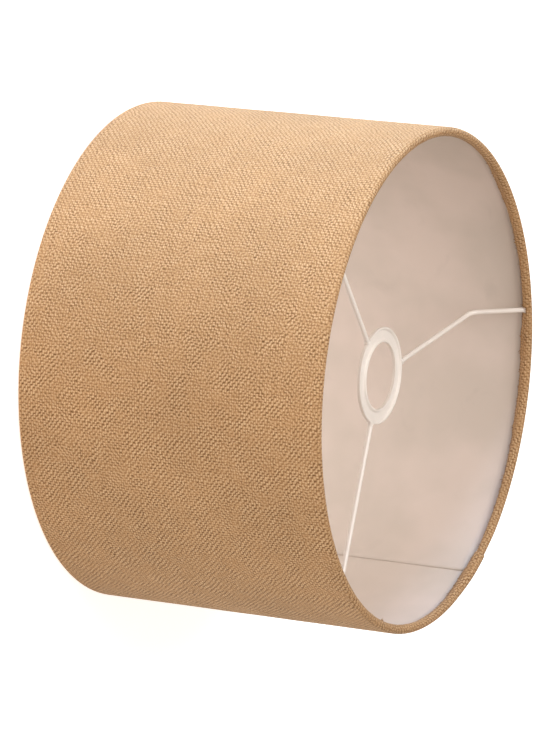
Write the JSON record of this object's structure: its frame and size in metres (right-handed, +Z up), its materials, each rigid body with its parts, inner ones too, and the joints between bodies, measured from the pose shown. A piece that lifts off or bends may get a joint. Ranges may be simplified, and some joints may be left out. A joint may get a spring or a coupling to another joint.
{
  "type": "lamp shade",
  "caption": "Round drum lamp shade of woven cloth over a stiff white lining, with wire rims and a recessed fitter ring on bent wire arms.",
  "frame": {"origin": "centre of the bottom rim, on the plane that the shade stands on", "axes": "+Z up along the drum's axis, towards the end with the recessed fitter ring; +X and +Y across the drum"},
  "size_m": [0.3, 0.3, 0.195],
  "materials": {
    "cloth": "woven, matt",
    "lining": "smooth white sheet",
    "tape": "double-sided tape",
    "ring_wire": "plain drawn wire",
    "painted_steel": "white powder coat"
  },
  "bodies": {
    "root": {"fabric_cover": "cloth", "lining_panel": "lining", "lining_seam_tape": "tape", "top_ring": "ring_wire", "bottom_ring": "ring_wire", "top_ring_tape": "tape", "bottom_ring_tape": "tape", "fitter_ring": "painted_steel", "spider_arm_1": "painted_steel", "spider_arm_2": "painted_steel", "spider_arm_3": "painted_steel", "rim_weld_1": "painted_steel", "rim_weld_2": "painted_steel", "rim_weld_3": "painted_steel", "fitter_weld_1": "painted_steel", "fitter_weld_2": "painted_steel", "fitter_weld_3": "painted_steel"}
  },
  "joints": []
}
